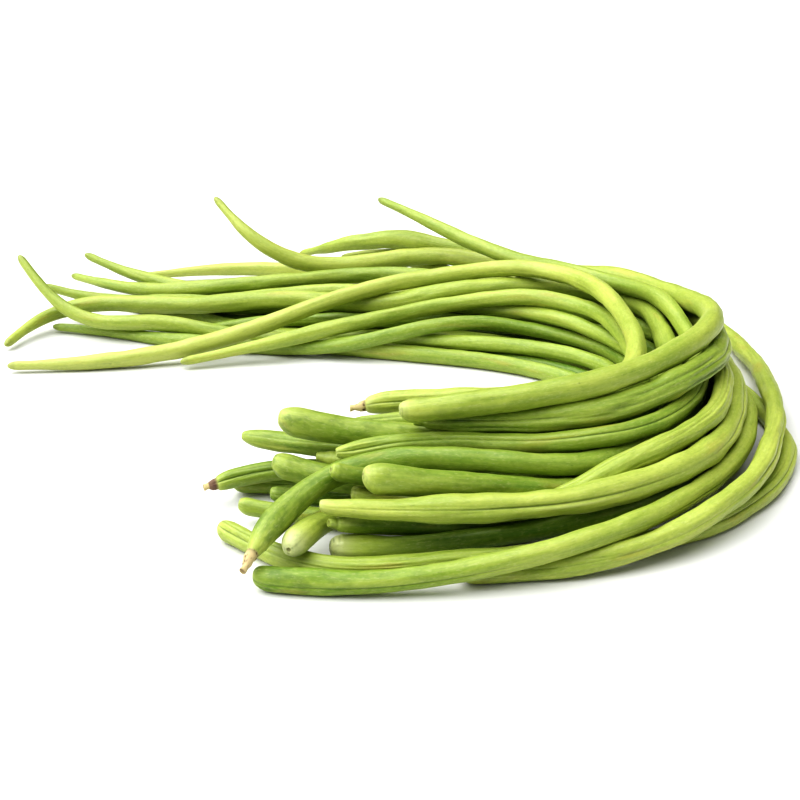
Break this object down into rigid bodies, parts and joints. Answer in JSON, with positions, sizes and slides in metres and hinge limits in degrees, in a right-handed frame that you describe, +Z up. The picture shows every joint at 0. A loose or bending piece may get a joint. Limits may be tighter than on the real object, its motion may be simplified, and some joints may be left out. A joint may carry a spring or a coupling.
{
  "type": "yardlong bean bunch",
  "caption": "Loose bunch of very long, thin green bean pods lying flat and bent into a U, blunt stalk ends together on one arm and thin tips fanned out on the other.",
  "frame": {"origin": "on the table, under the middle of the bunch's box", "axes": "+Z up from the table; the U is open towards -X, with the stalk-end arm on the -Y side and the tips' arm on the +Y side"},
  "size_m": [0.3532, 0.3678, 0.0541],
  "materials": {
    "skin_bright": "satin",
    "skin_mid": "satin",
    "skin_deep": "satin"
  },
  "bodies": {
    "root": {"pod_top_arch": "skin_bright", "pod_back_crest": "skin_bright", "pod_under_arch": "skin_mid", "pod_inner_arch": "skin_mid", "pod_long_stub": "skin_mid", "pod_blunt_middle": "skin_deep", "pod_thick_middle": "skin_mid", "pod_bright_front": "skin_bright", "pod_wrinkled": "skin_bright", "pod_low_front": "skin_deep", "pod_shaded_front": "skin_deep", "pod_front_edge": "skin_bright", "pod_floor_outer": "skin_bright", "pod_short_head": "skin_mid", "pod_thick_head": "skin_mid", "pod_rear_low": "skin_mid", "pod_left_blunt": "skin_mid", "pod_brown_stub": "skin_deep", "pod_rear_floor": "skin_deep", "pod_core_floor": "skin_deep", "pod_left_low": "skin_deep", "pod_outermost": "skin_mid", "pod_green_stub": "skin_mid", "pod_rear_upper": "skin_mid"}
  },
  "joints": []
}
